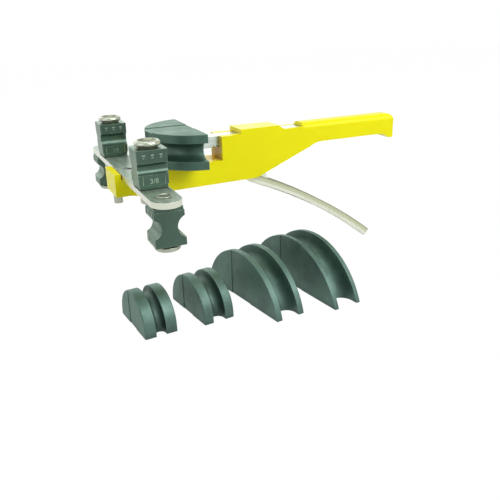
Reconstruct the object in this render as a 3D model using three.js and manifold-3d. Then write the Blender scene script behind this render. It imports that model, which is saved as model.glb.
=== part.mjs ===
// Ratchet pipe bender with its cross bar, back-up blocks, mounted former and four loose formers.
// Millimetres. +X runs from the head to the hand grip, +Y to the far side, +Z up.
// The pieces are laid out from the bar's top face (the deck, z = 0) above the middle of the bar,
// and the whole bender is then moved so that the middle of the hand grip is the origin.
import * as THREE from "three";
import { mergeVertices } from "three/addons/utils/BufferGeometryUtils.js";
import Module from "manifold-3d";

const wasm = await Module();
wasm.setup();

// General clearances and allowances
const seat_gap = 0.2; // between a piece and the seat it is clamped on
const running_gap = 0.3; // round a pin or a guided piece
const overrun = 4; // how far a cutting solid runs past the face it opens
const wire_gap = 0.6; // least air between two turns of a spring

// Casting
const head_width = 38; // the casting tapers in plan from the head to the grip
const grip_width = 21.6;
const head_front = -19.4;
const head_underside = -21;
const head_rear = -6; // where the underside starts to drop to the beam's
const beam_front = 2;
const beam_underside = -22.5;
const beam_top = -0.2;
const lip_gap = 0.8; // from the lip to the bar's front edge
const throat_x = 87.4;
const wall_top = 22.9;
const bridge_front = 107.8;
const bridge_rear = 150;
const bridge_slope_length = 6.5;
const bridge_top = 27.5;
const grip_front = 179;
const grip_top = 26.6;
const grip_edge_radius = 7; // along both top edges of the grip
const grip_underside = 6;
const grip_rear = 291.2;
const belly_rear = 122; // where the underside starts to rise
const belly_blend = 131;
const belly_blend_z = -20.2;
const rise_end = 187;
const rise_end_z = 1.7;
const grip_root = 201; // where the underside of the grip becomes straight
const hook_start = 275;
const hook_x = 286;
const hook_z = 1;
const tail_corner_drop = 6.5;
const tail_corner_length = 8;
const bay_rear = 188; // the hollow that holds the lever's fork and the pawls
const pawl_pocket_length = 8.6; // the hollow's upper part reaches further forward
const pawl_pocket_drop = 11;

// Cross bar
const bar_length = 247;
const bar_width = 25.6;
const bar_thickness = 5.1;
const bar_end_to_lower_pin = 18.1;
const lower_to_upper_pin = 36.3;

// Blocks
const block_height = 32;
const block_wide = 26; // across flats at the head end
const block_narrow = 25.2; // across flats at the bar end
const block_corner = 1.2;
const block_boss_height = 3; // at the bar end
const block_boss_inset = 0.6;
const tube_height = 17.2; // the bent tube's axis above the bar
const block_groove_depth_share = 0.35; // of the tube's diameter
const tube_slack = 0.2; // groove radius over tube radius

// Pins of the blocks
const pin_radius = 4;
const pin_head_radius = 10.9;
const pin_head_height = 5.7;
const pin_head_dish = 2.2;
const pin_head_rim = 3.4; // from the head's side to the foot of its dish
const pin_crest_inset = 1.7; // from the head's side to its highest ring
const pin_crest_drop = 2;
const pin_neck_radius = 8.4; // under the head, seated on the block
const pin_neck_height = 1.5;
const pin_edge = 0.8;
const pin_ring_radius = 6;
const pin_ring_height = 1;
const pin_ring_dish = 0.6;
const washer_radius = 8.6;
const washer_thickness = 0.4;
const pin_nut_radius = 9.6;
const pin_nut_height = 8.6;

// Fastenings of the bar
const screw_head_radius = 5.6;
const screw_head_depth = 2.6;
const screw_radius = 3.2;
const screw_length = 14;
const screw_hex = 2.9;
const screw_hex_depth = 2.2;
const plunger_x = -14;
const plunger_radius = 2.4;
const plunger_knob_radius = 4.2;
const plunger_knob_height = 8.2;
const plunger_skin = 0.6; // metal of the lip left over the plunger
const plunger_collar_radius = 3.4;
const plunger_collar_height = 1.4;
const plunger_bore_radius = 3.9;
const plunger_bore_top = -7;
const plunger_bush_height = 2; // inside the head
const plunger_bush_proud = 1.5; // below it
const plunger_wire = 0.7;

// Ratchet rod
const rod_width = 14;
const rod_height = 11;
const rod_tail = 213;
const rod_chamfer = 0.8;
const tooth_pitch = 4;
const tooth_depth = 2;
const tooth_ramp = 3.4;
const tooth_slack = 0.1; // from a lowered pawl's nose forward to the face it will push
const teeth_ahead = 7; // of the drive pawl, with the rod at rest
const tooth_count = 32;
const rod_back_travel = 24;

// Formers
const former_width = 32;
const former_edge = 0.4;
const socket_depth = 24; // of a former, for the rod's end
const groove_depth_share = 0.82; // of the groove's width
const band_share = 0.13; // half the side band, as a share of the straight edge
const band_depth = 0.5;
const former_face_x = 61.2; // the mounted former's straight edge
const detent_x = 46;
const detent_ball_radius = 2.5;
const detent_proud = 0.2;
const detent_bore_floor = 13.9;
const detent_wire = 0.7;

// Tubes and the formers bent round: tube diameter, bend radius, straight edge to crown
const three_eighths_tube = 9.525;
const half_tube = 12.7;
const five_eighths_tube = 15.875;
const three_quarter_tube = 19.05;
const seven_eighths_tube = 22.225;
const three_eighths_bend = 28.8;
const half_bend = 31.2;
const five_eighths_bend = 43;
const three_quarter_bend = 60;
const seven_eighths_bend = 73.2;
const three_eighths_crown = 35.1;
const half_crown = 37.8;
const five_eighths_crown = 42.9;
const three_quarter_crown = 50.2;
const seven_eighths_crown = 52.7;

// Lever and pawls
const lever_pivot_x = 110;
const lever_pivot_z = -12;
const lever_width = 15;
const lever_wall = 1.6;
const lever_flange = 8.8;
const lever_start_x = 121;
const lever_start_z = -28.6;
const lever_tip_x = 265.5;
const lever_tip_z = -113.2;
const lever_curve_radius = 540;
const fork_radius = 6.4;
const fork_top_radius = 4.2;
const lever_pin_radius = 3;
const lever_pin_inset = 2; // metal left over the blind end
const bay_side_gap = 0.3;
const drive_pin_dx = 10; // from the lever's pivot
const pawl_pin_z = 3.9;
const pawl_pin_radius = 2;
const pawl_hub_radius = 3.6;
const pawl_reach = 11;
const pawl_tip_z = 11.1;
const pawl_nose = 3;
const pawl_tail_share = 0.55;
const pawl_width = 6;
const pawl_spacing = 6; // in teeth
const heel_gap = 0.3; // from the fork's heel to the wall that stops it
const lever_spring_radius = 4.9;
const lever_spring_wire = 1.1;
const pawl_spring_radius = 2.9;
const pawl_spring_wire = 0.7;

// Loose formers, standing on their straight edges
const floor_z = -141.9;
const loose_places = {
  three_eighths: [-21.2, -40.3],
  half: [35.2, -36.3],
  three_quarter: [93.8, -33.4],
  seven_eighths: [155.8, -26.3],
};
const loose_headings = { three_eighths: 5.5, half: 8, three_quarter: 9, seven_eighths: 7.5 }; // degrees

// The middle of the hand grip
const grip_middle_x = 236;
const grip_middle_z = 16.3;

// Counts
const round_steps = 24;
const small_steps = 16;
const rim_steps = 72;
const groove_steps = 8;
const lever_steps = 18;
const curl_steps = 8;
const wire_sides = 5;

// Values worked out from the above
const lower_spread = bar_length / 2 - bar_end_to_lower_pin; // from the bar's middle to a lower block's pin
const upper_spread = lower_spread - lower_to_upper_pin;
const rod_underside = tube_height - rod_height / 2;
const rod_top = tube_height + rod_height / 2;
const rod_tip = former_face_x - socket_depth;
const channel_half = rod_width / 2 + running_gap;
const bay_half = lever_width / 2 + bay_side_gap;
const drive_pin_x = lever_pivot_x + drive_pin_dx;
const holding_pin_x = drive_pin_x + pawl_spacing * tooth_pitch;
const first_tooth = drive_pin_x - pawl_reach - tooth_slack - teeth_ahead * tooth_pitch;
const channel_top = rod_top + running_gap;
const channel_end = rod_tail + rod_back_travel + running_gap;
const bay_front = lever_pivot_x - fork_radius - heel_gap;
const plunger_tip_z = beam_top - plunger_skin - seat_gap;
const plunger_knob_top = head_underside - plunger_bush_proud - seat_gap;
const block_base = washer_thickness + 2 * seat_gap; // from the bar to a block

const yellow_paint = finish(0xf0e614, 0.45, 0);
const grey_steel = finish(0x6f7772, 0.42, 0.85);
const bright_steel = finish(0xd8dcd2, 0.25, 0.9);
const zinc = finish(0xc9cfb6, 0.38, 0.8);
const rod_steel = finish(0xc4d0cc, 0.3, 0.85);
const dark_iron = finish(0x3f4a45, 0.5, 0.35);
const spring_steel = finish(0x8d9294, 0.35, 0.9);

function finish(color, roughness, metalness) {
  return new THREE.MeshStandardMaterial({ color, roughness, metalness });
}

// A closed geometry as a solid that can be cut and joined.
function solid(geometry) {
  const bare = geometry.clone();
  bare.deleteAttribute("normal");
  bare.deleteAttribute("uv");
  const merged = mergeVertices(bare);
  return new wasm.Manifold(
    new wasm.Mesh({
      numProp: 3,
      vertProperties: merged.attributes.position.array,
      triVerts: new Uint32Array(merged.index.array),
    }),
  );
}

// A solid as a named mesh.
function piece(name, body, material) {
  const found = body.getMesh();
  const geometry = new THREE.BufferGeometry();
  geometry.setAttribute("position", new THREE.BufferAttribute(found.vertProperties, 3));
  geometry.setIndex(new THREE.BufferAttribute(found.triVerts, 1));
  geometry.computeVertexNormals();
  const mesh = new THREE.Mesh(geometry, material);
  mesh.name = name;
  return mesh;
}

function outline(points) {
  return new THREE.Shape(points.map(([u, v]) => new THREE.Vector2(u, v)));
}

function extruded(shape, depth, steps) {
  return new THREE.ExtrudeGeometry(shape, { depth, bevelEnabled: false, curveSegments: steps });
}

// A shape in X and Z, extruded from y = near to y = far.
function across(shape, near, far, steps = small_steps) {
  const geometry = extruded(shape, far - near, steps);
  const turn = new THREE.Matrix4().makeBasis(
    new THREE.Vector3(1, 0, 0),
    new THREE.Vector3(0, 0, 1),
    new THREE.Vector3(0, -1, 0),
  );
  return solid(geometry.applyMatrix4(turn).translate(0, far, 0));
}

// A shape in Y and Z, extruded from x = front to x = rear.
function lengthwise(shape, front, rear) {
  const geometry = extruded(shape, rear - front, small_steps);
  const turn = new THREE.Matrix4().makeBasis(
    new THREE.Vector3(0, 1, 0),
    new THREE.Vector3(0, 0, 1),
    new THREE.Vector3(1, 0, 0),
  );
  return solid(geometry.applyMatrix4(turn).translate(front, 0, 0));
}

// A shape in X and Y, extruded from z = low to z = high.
function upright(shape, low, high, steps = small_steps) {
  return solid(extruded(shape, high - low, steps).translate(0, 0, low));
}

function block(x0, x1, y0, y1, z0, z1) {
  const geometry = new THREE.BoxGeometry(x1 - x0, y1 - y0, z1 - z0);
  return solid(geometry.translate((x0 + x1) / 2, (y0 + y1) / 2, (z0 + z1) / 2));
}

// A round bar along Z, or along Y.
function post(x, y, low, high, radius, steps = round_steps) {
  const geometry = new THREE.CylinderGeometry(radius, radius, high - low, steps);
  return solid(geometry.rotateX(Math.PI / 2).translate(x, y, (low + high) / 2));
}

function axle(x, z, near, far, radius, steps = small_steps) {
  const geometry = new THREE.CylinderGeometry(radius, radius, far - near, steps);
  return solid(geometry.translate(x, (near + far) / 2, z));
}

// A profile of radius and height, turned about a vertical axis.
function turned(profile, x, y, steps = round_steps) {
  const points = profile.map(([r, z]) => new THREE.Vector2(r, z));
  const geometry = new THREE.LatheGeometry(points, steps);
  return solid(geometry.rotateX(Math.PI / 2).translate(x, y, 0));
}

function union(...solids) {
  return solids.reduce((all, next) => all.add(next));
}

// Half the casting's width at a place along its length.
function castingHalf(x) {
  const share = (x - head_front) / (grip_front - head_front);
  return (head_width + (grip_width - head_width) * Math.min(Math.max(share, 0), 1)) / 2;
}

// The plan of the casting.
function castingPlan() {
  const near = [
    [head_front - overrun, -head_width / 2],
    [head_front, -head_width / 2],
    [grip_front, -grip_width / 2],
    [grip_rear + overrun, -grip_width / 2],
  ];
  return outline([...near, ...near.map(([x, y]) => [x, -y]).reverse()]);
}

// The side view of the casting.
function castingOutline() {
  const seat = bar_width / 2 + seat_gap;
  const seat_floor = -bar_thickness - seat_gap;
  const lip_rear = -bar_width / 2 - lip_gap;
  const s = new THREE.Shape();
  s.moveTo(head_front, head_underside);
  s.lineTo(head_rear, head_underside);
  s.lineTo(beam_front, beam_underside);
  s.lineTo(belly_rear, beam_underside);
  s.quadraticCurveTo(belly_rear + (belly_blend - belly_rear) / 2, beam_underside, belly_blend, belly_blend_z);
  s.lineTo(rise_end, rise_end_z);
  s.quadraticCurveTo((rise_end + grip_root) / 2, grip_underside, grip_root, grip_underside);
  s.lineTo(hook_start, grip_underside);
  s.quadraticCurveTo((hook_start + hook_x) / 2, grip_underside, hook_x, hook_z);
  s.lineTo(grip_rear, hook_z);
  s.lineTo(grip_rear, grip_top - tail_corner_drop);
  s.quadraticCurveTo(grip_rear, grip_top, grip_rear - tail_corner_length, grip_top);
  s.lineTo(grip_front, grip_top);
  s.lineTo(grip_front, wall_top);
  s.lineTo(bridge_rear + bridge_slope_length, wall_top);
  s.lineTo(bridge_rear, bridge_top);
  s.lineTo(bridge_front, bridge_top);
  s.lineTo(bridge_front, wall_top);
  s.lineTo(throat_x, wall_top);
  s.lineTo(throat_x, beam_top);
  s.lineTo(seat, beam_top);
  s.lineTo(seat, seat_floor);
  s.lineTo(lip_rear, seat_floor);
  s.lineTo(lip_rear, beam_top);
  s.lineTo(head_front, beam_top);
  return s;
}

// What the rounding of the grip takes off along one top edge.
function gripEdge(side) {
  const flat = grip_width / 2 - grip_edge_radius;
  const low = grip_top - grip_edge_radius;
  const points = [
    [side * (grip_width / 2 + overrun), low],
    [side * (grip_width / 2 + overrun), grip_top + overrun],
    [side * flat, grip_top + overrun],
  ];
  for (let i = 0; i <= curl_steps; i += 1) {
    const a = (Math.PI / 2) * (1 - i / curl_steps);
    points.push([side * (flat + grip_edge_radius * Math.cos(a)), low + grip_edge_radius * Math.sin(a)]);
  }
  return lengthwise(outline(points), grip_front, grip_rear + overrun);
}

// The blind end, on the near side, of a pin hole through the casting.
function blindEnd(x) {
  return -castingHalf(x) + lever_pin_inset;
}

function castFrame() {
  const wide = across(castingOutline(), -head_width, head_width, curl_steps);
  const plan = upright(castingPlan(), beam_underside - overrun, bridge_top + overrun);
  const body = [gripEdge(-1), gripEdge(1)].reduce((left, cut) => left.subtract(cut), wide.intersect(plan));
  const channel = block(
    throat_x - overrun, channel_end, -channel_half, channel_half,
    rod_underside - running_gap, channel_top,
  );
  const bay = block(bay_front, bay_rear, -bay_half, bay_half, beam_underside - overrun, rod_underside);
  const pocket = block(
    bay_front - pawl_pocket_length, bay_rear, -bay_half, bay_half,
    rod_underside - pawl_pocket_drop, rod_underside,
  );
  const pivot_hole = axle(
    lever_pivot_x, lever_pivot_z, blindEnd(lever_pivot_x) - seat_gap, head_width, lever_pin_radius + seat_gap,
  );
  const pawl_hole = axle(
    holding_pin_x, pawl_pin_z, blindEnd(holding_pin_x) - seat_gap, head_width, pawl_pin_radius + seat_gap,
  );
  const screw_hole = post(
    0, 0, -bar_thickness - screw_length, overrun - bar_thickness, screw_radius + seat_gap,
  );
  const plunger_hole = post(
    plunger_x, 0, beam_underside - overrun, beam_top - plunger_skin, plunger_radius + running_gap,
  );
  const plunger_bore = post(
    plunger_x, 0, beam_underside - overrun, plunger_bore_top, plunger_bore_radius,
  );
  return [channel, bay, pocket, pivot_hole, pawl_hole, screw_hole, plunger_hole, plunger_bore].reduce(
    (left, cut) => left.subtract(cut),
    body,
  );
}

function crossBar() {
  const half = bar_width / 2;
  const straight = bar_length / 2 - half;
  const plan = new THREE.Shape();
  plan.moveTo(half, -straight);
  plan.lineTo(half, straight);
  plan.absarc(0, straight, half, 0, Math.PI, false);
  plan.lineTo(-half, -straight);
  plan.absarc(0, -straight, half, Math.PI, 2 * Math.PI, false);
  let bar = upright(plan, -bar_thickness, 0, small_steps);
  for (const y of [-lower_spread, -upper_spread, upper_spread, lower_spread]) {
    bar = bar.subtract(post(0, y, -bar_thickness - overrun, overrun, pin_radius + seat_gap));
  }
  bar = bar.subtract(post(0, 0, -bar_thickness - overrun, overrun, screw_radius + seat_gap));
  bar = bar.subtract(
    post(0, 0, -screw_head_depth - seat_gap, overrun, screw_head_radius + seat_gap),
  );
  const notch_top = plunger_tip_z + seat_gap;
  return bar.subtract(
    post(plunger_x, 0, -bar_thickness - overrun, notch_top, plunger_radius + running_gap),
  );
}

function barScrew() {
  const body = turned(
    [
      [0, -bar_thickness - screw_length + screw_radius],
      [screw_radius, -bar_thickness - screw_length + screw_radius],
      [screw_radius, -screw_head_depth],
      [screw_head_radius, -screw_head_depth],
      [screw_head_radius, -seat_gap],
      [0, -seat_gap],
    ],
    0,
    0,
    small_steps,
  );
  return body.subtract(post(0, 0, -screw_hex_depth, overrun, screw_hex, 6));
}

function barPlunger() {
  const collar_base = plunger_bore_top - running_gap - plunger_collar_height;
  return turned(
    [
      [0, plunger_knob_top - plunger_knob_height],
      [plunger_knob_radius, plunger_knob_top - plunger_knob_height],
      [plunger_knob_radius, plunger_knob_top],
      [plunger_radius, plunger_knob_top],
      [plunger_radius, collar_base],
      [plunger_collar_radius, collar_base],
      [plunger_collar_radius, collar_base + plunger_collar_height],
      [plunger_radius, collar_base + plunger_collar_height],
      [plunger_radius, plunger_tip_z],
      [0, plunger_tip_z],
    ],
    plunger_x,
    0,
    small_steps,
  );
}

function plungerBush() {
  const top = head_underside + plunger_bush_height;
  const ring = post(
    plunger_x, 0, head_underside - plunger_bush_proud, top, plunger_bore_radius - seat_gap,
  );
  return ring.subtract(
    post(plunger_x, 0, beam_underside - overrun, top + overrun, plunger_radius + running_gap),
  );
}

// A coil of wire about a vertical axis from low to high, as one unbroken tube.
class Coil extends THREE.Curve {
  constructor(radius, low, high, turns) {
    super();
    Object.assign(this, { radius, low, high, turns });
  }
  getPoint(t, target = new THREE.Vector3()) {
    const angle = 2 * Math.PI * this.turns * t;
    const z = this.low + (this.high - this.low) * t;
    return target.set(this.radius * Math.cos(angle), this.radius * Math.sin(angle), z);
  }
}

function coil(radius, wire, low, high) {
  const turns = Math.max(2, Math.floor((high - low - wire) / (wire + wire_gap)));
  const section = new THREE.Shape();
  for (let i = 0; i < wire_sides; i += 1) {
    const a = (2 * Math.PI * i) / wire_sides;
    const put = i === 0 ? "moveTo" : "lineTo";
    section[put]((wire / 2) * Math.cos(a), (wire / 2) * Math.sin(a));
  }
  const path = new Coil(radius, low + wire / 2, high - wire / 2, turns);
  return new THREE.ExtrudeGeometry(section, { steps: turns * curl_steps, extrudePath: path });
}

function uprightSpring(x, y, radius, wire, low, high) {
  return solid(coil(radius, wire, low, high).translate(x, y, 0));
}

function axleSpring(x, z, radius, wire, near, far) {
  return solid(coil(radius, wire, near, far).rotateX(-Math.PI / 2).translate(x, 0, z));
}

// A back-up block in its own frame: the bar end at z = 0, the head end at z = block_height.
function backUpBlock(tubes) {
  const square = new THREE.Shape();
  const corner_share = (2 * block_corner) / block_wide;
  const turns = [0, 1, 2, 3];
  for (const k of turns) {
    const a = (k * Math.PI) / 2;
    const centre = 1 - corner_share;
    const cx = centre * Math.SQRT2 * Math.cos(a + Math.PI / 4);
    const cy = centre * Math.SQRT2 * Math.sin(a + Math.PI / 4);
    square.absarc(cx, cy, corner_share, a, a + Math.PI / 2, false);
  }
  const unit = new THREE.ExtrudeGeometry(square, { depth: 1, bevelEnabled: false, curveSegments: 3 });
  const place = unit.attributes.position;
  for (let i = 0; i < place.count; i += 1) {
    const h = place.getZ(i);
    const half = (block_narrow + (block_wide - block_narrow) * h) / 2;
    place.setXYZ(i, place.getX(i) * half, place.getY(i) * half, h * block_height);
  }
  let body = solid(unit);
  const reach = block_wide;
  for (const [k, tube] of tubes) {
    const radius = tube / 2 + tube_slack;
    const groove_height = tube_height - block_base;
    const height_share = groove_height / block_height;
    const face = (block_narrow + (block_wide - block_narrow) * height_share) / 2;
    const centre = face - tube * block_groove_depth_share + radius;
    const cutter = new THREE.CylinderGeometry(radius, radius, 2 * reach, round_steps);
    cutter.translate(centre, 0, groove_height).rotateZ((k * Math.PI) / 2);
    body = body.subtract(solid(cutter));
  }
  const boss = block_narrow / 2 - block_boss_inset;
  const keep = block(-boss, boss, -boss, boss, -overrun, block_boss_height + overrun).add(
    block(-reach, reach, -reach, reach, block_boss_height, block_height + overrun),
  );
  body = body.intersect(keep);
  return body.subtract(post(0, 0, -overrun, block_height + overrun, pin_radius + seat_gap));
}

// The pin of an upper block: dished head, shank through block and bar.
function blockPin(x, y, bottom, top, ring) {
  const rim = pin_head_radius - pin_head_rim;
  const lower = ring
    ? [
        [0, bottom + pin_ring_dish],
        [pin_ring_radius - pin_ring_height, bottom + pin_ring_dish],
        [pin_ring_radius - pin_ring_height / 2, bottom],
        [pin_ring_radius, bottom + pin_ring_height / 2],
        [pin_ring_radius, bottom + pin_ring_height],
        [pin_radius, bottom + pin_ring_height],
      ]
    : [
        [0, bottom],
        [pin_radius, bottom],
      ];
  const head = [
    [pin_radius, top - pin_head_height],
    [pin_neck_radius, top - pin_head_height],
    [pin_neck_radius, top - pin_head_height + pin_neck_height],
    [pin_head_radius - pin_edge, top - pin_head_height + pin_neck_height],
    [pin_head_radius, top - pin_head_height + pin_neck_height + pin_edge],
    [pin_head_radius, top - pin_crest_drop],
    [pin_head_radius - pin_crest_inset / 3, top - pin_crest_drop / 3],
    [pin_head_radius - pin_crest_inset, top],
    [rim + (pin_head_rim - pin_crest_inset) / 2, top - pin_head_dish / 4],
    [rim, top - (3 * pin_head_dish) / 4],
    [rim / 2, top - pin_head_dish],
    [0, top - pin_head_dish],
  ];
  return turned([...lower, ...head], x, y);
}

function washer(x, y, low, high, radius) {
  const disc = post(x, y, low, high, radius);
  return disc.subtract(post(x, y, low - overrun, high + overrun, pin_radius + seat_gap));
}

// The rod with its ratchet teeth along the underside.
function ratchetRod() {
  const half = rod_width / 2;
  const c = rod_chamfer;
  const section = outline([
    [-half, rod_underside],
    [half, rod_underside],
    [half, rod_top - c],
    [half - c, rod_top],
    [-half + c, rod_top],
    [-half, rod_top - c],
  ]);
  let rod = lengthwise(section, rod_tip + seat_gap, rod_tail);
  for (let i = 0; i < tooth_count; i += 1) {
    const x = first_tooth + i * tooth_pitch;
    const gap = outline([
      [x, rod_underside - overrun],
      [x + tooth_ramp + (tooth_ramp * overrun) / tooth_depth, rod_underside - overrun],
      [x, rod_underside + tooth_depth],
    ]);
    rod = rod.subtract(across(gap, -rod_width, rod_width));
  }
  return rod.subtract(
    post(detent_x, 0, detent_bore_floor, rod_top + overrun, detent_ball_radius + seat_gap, small_steps),
  );
}

function detentBall() {
  const centre = rod_top + detent_proud - detent_ball_radius;
  const ball = new THREE.SphereGeometry(detent_ball_radius, small_steps, curl_steps);
  return solid(ball.translate(detent_x, 0, centre));
}

// A former in its own frame: bend axis along Z, straight edge at x = 0, crown towards -X.
function former(tube, bend, crown) {
  const half = former_width / 2;
  const g = tube / 2 + tube_slack;
  const rim = bend - g + 2 * g * groove_depth_share;
  const c = former_edge;
  const side = [
    [rim - c, -half],
    [rim, -half + c],
    [rim, -g - c],
    [rim - c, -g],
  ];
  for (let i = 0; i <= groove_steps; i += 1) {
    const a = -Math.PI / 2 - (Math.PI * i) / groove_steps;
    side.push([bend + g * Math.cos(a), g * Math.sin(a)]);
  }
  side.push([rim - c, g], [rim, g + c], [rim, half - c], [rim - c, half]);
  const skirt = Math.max(0, crown - rim);
  const centre_x = rim - crown;
  const reach = rim + crown;
  const wheel = turned([[0, -half], ...side, [0, half]], centre_x, 0, rim_steps);
  const keep = block(-reach - overrun, skirt > 0 ? centre_x : 0, -reach, reach, -former_width, former_width);
  let body = wheel.intersect(keep);
  if (skirt > 0) {
    const mirror = [...side].reverse().map(([y, z]) => [-y, z]);
    body = body.add(lengthwise(outline([...side, ...mirror]), centre_x - seat_gap, 0));
  }
  const straight = skirt > 0 ? rim : Math.sqrt(rim * rim - centre_x * centre_x);
  const band = 2 * straight * band_share;
  for (const face of [-1, 1]) {
    const z0 = face * (half - band_depth);
    const z1 = face * (half + overrun);
    body = body.subtract(block(-reach, overrun, -band, band, Math.min(z0, z1), Math.max(z0, z1)));
  }
  return body.subtract(formerSocket());
}

function formerSocket() {
  const half_y = rod_width / 2 + running_gap;
  const half_z = rod_height / 2 + running_gap;
  return block(-socket_depth - running_gap, overrun, -half_y, half_y, -half_z, half_z);
}

// Points of the lever's arc, offset to its hollow side by a distance.
function leverArc(offset, steps) {
  const start = new THREE.Vector2(lever_start_x, lever_start_z);
  const tip = new THREE.Vector2(lever_tip_x, lever_tip_z);
  const chord = tip.clone().sub(start);
  const half = chord.length() / 2;
  const rise = Math.sqrt(lever_curve_radius ** 2 - half ** 2);
  const side = new THREE.Vector2(chord.y, -chord.x).normalize();
  const centre = start.clone().add(tip).multiplyScalar(1 / 2).addScaledVector(side, rise);
  const from = Math.atan2(start.y - centre.y, start.x - centre.x);
  const to = Math.atan2(tip.y - centre.y, tip.x - centre.x);
  const points = [];
  for (let i = 0; i <= steps; i += 1) {
    const a = from + ((to - from) * i) / steps;
    const r = lever_curve_radius + offset;
    points.push([centre.x + r * Math.cos(a), centre.y + r * Math.sin(a)]);
  }
  return points;
}

// The stretch of the lever between two offsets from its outer skin.
function leverBand(inner, outer, half_width, tip_trim) {
  const low = leverArc(inner, lever_steps);
  const high = leverArc(outer, lever_steps);
  const strip = across(outline([...low, ...high.reverse()]), -half_width, half_width);
  const [a, b] = leverArc(0, lever_steps).slice(-2);
  const along = new THREE.Vector2(b[0] - a[0], b[1] - a[1]).normalize();
  const nose = half_width;
  const plan = new THREE.Shape();
  plan.moveTo(-lever_tip_x, -half_width);
  plan.lineTo(-nose - tip_trim, -half_width);
  plan.absarc(-nose - tip_trim, 0, half_width, -Math.PI / 2, Math.PI / 2, false);
  plan.lineTo(-lever_tip_x, half_width);
  const cutter = extruded(plan, 2 * lever_width, small_steps).translate(0, 0, -lever_width);
  cutter.rotateY(-Math.atan2(along.y, along.x)).translate(b[0], 0, b[1]);
  return strip.intersect(solid(cutter));
}

function handLever() {
  const half = lever_width / 2;
  const inner = half - lever_wall;
  const shell = leverBand(0, lever_flange, half, 0);
  const hollow = leverBand(lever_wall, lever_flange + overrun, inner, lever_wall);
  let body = shell.subtract(hollow);
  const [x0, z0] = leverArc(0, lever_steps)[0];
  const root = leverArc(lever_wall, lever_steps)[2];
  const root_top = leverArc(lever_flange - lever_wall, lever_steps)[2];
  const fork = new THREE.Shape();
  fork.moveTo(x0, z0);
  fork.lineTo(root[0], root[1]);
  fork.lineTo(root_top[0], root_top[1]);
  fork.absarc(drive_pin_x, pawl_pin_z, fork_top_radius, 0, Math.PI, false);
  fork.lineTo(lever_pivot_x - fork_radius, lever_pivot_z);
  fork.lineTo(lever_pivot_x - fork_radius, lever_pivot_z - fork_radius);
  for (const side of [-1, 1]) {
    const near = Math.min(side * inner, side * half);
    body = body.add(across(fork, near, near + lever_wall, curl_steps));
  }
  body = body.subtract(axle(lever_pivot_x, lever_pivot_z, -lever_width, lever_width, lever_pin_radius + seat_gap));
  return body.subtract(axle(drive_pin_x, pawl_pin_z, -lever_width, lever_width, pawl_pin_radius + seat_gap));
}

// A strut pawl on a pin at pin_x; its nose lies just under the rod's teeth.
function pawl(pin_x) {
  const tip_x = pin_x - pawl_reach;
  const arm = new THREE.Shape();
  arm.moveTo(tip_x, pawl_tip_z);
  arm.lineTo(tip_x + pawl_nose / 8, pawl_tip_z - pawl_nose);
  arm.lineTo(pin_x - pawl_hub_radius * pawl_tail_share, pawl_pin_z - pawl_hub_radius * pawl_tail_share);
  arm.absarc(pin_x, pawl_pin_z, pawl_hub_radius, -Math.PI / 4, Math.PI / 2, false);
  const half = pawl_width / 2;
  const hub = axle(pin_x, pawl_pin_z, -lever_width / 2 + lever_wall + running_gap, half, pawl_hub_radius);
  const body = union(across(arm, -half, half, curl_steps), hub);
  return body.subtract(axle(pin_x, pawl_pin_z, -lever_width, lever_width, pawl_pin_radius + seat_gap));
}

// The assembly
const bender = new THREE.Group();
const tool = new THREE.Group();
tool.position.set(-grip_middle_x, 0, -grip_middle_z);
bender.add(tool);

tool.add(piece("cast_frame", castFrame(), yellow_paint));
tool.add(piece("cross_bar", crossBar(), grey_steel));
tool.add(piece("bar_screw", barScrew(), spring_steel));
tool.add(piece("bar_plunger", barPlunger(), bright_steel));
tool.add(piece("plunger_bush", plungerBush(), spring_steel));
tool.add(
  piece(
    "bar_plunger_spring",
    uprightSpring(
      plunger_x, 0, (plunger_radius + plunger_bore_radius) / 2, plunger_wire,
      head_underside + plunger_bush_height + seat_gap,
      plunger_bore_top - plunger_collar_height - 2 * running_gap,
    ),
    spring_steel,
  ),
);

const upper_pin_top = block_base + block_height + seat_gap + pin_head_height;
// Each block has two grooves, given by the quarter turns of their faces from +X and their tubes.
const blocks = {
  near_upper: { y: -upper_spread, tubes: [[1, half_tube], [3, three_eighths_tube]] },
  far_upper: { y: upper_spread, tubes: [[1, three_eighths_tube], [3, half_tube]] },
  near_lower: { y: -lower_spread, tubes: [[0, three_quarter_tube], [2, five_eighths_tube]] },
  far_lower: { y: lower_spread, tubes: [[0, three_quarter_tube], [2, five_eighths_tube]] },
};
for (const [name, { y, tubes }] of Object.entries(blocks)) {
  const upper = name.endsWith("upper");
  const body = piece(`${name}_block`, backUpBlock(tubes), dark_iron);
  body.position.set(0, y, upper ? block_base : -bar_thickness - block_base);
  if (!upper) body.rotation.x = Math.PI;
  tool.add(body);
  if (upper) {
    const nut_top = -bar_thickness - seat_gap;
    const pin = blockPin(0, y, nut_top - pin_nut_height, upper_pin_top, false);
    tool.add(piece(`${name}_pin`, pin, bright_steel));
    tool.add(piece(`${name}_washer`, washer(0, y, seat_gap, seat_gap + washer_thickness, washer_radius), spring_steel));
    tool.add(piece(`${name}_nut`, washer(0, y, nut_top - pin_nut_height, nut_top, pin_nut_radius), bright_steel));
  } else {
    const height = bar_thickness + block_base + block_height + seat_gap + pin_head_height;
    const pin = blockPin(0, 0, -seat_gap - pin_ring_height, height, true);
    const turned_over = piece(`${name}_pin`, pin, bright_steel);
    turned_over.position.set(0, y, 0);
    turned_over.rotation.x = Math.PI;
    tool.add(turned_over);
    const top = -bar_thickness - seat_gap;
    tool.add(piece(`${name}_washer`, washer(0, y, top - washer_thickness, top, washer_radius), spring_steel));
  }
}

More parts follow.
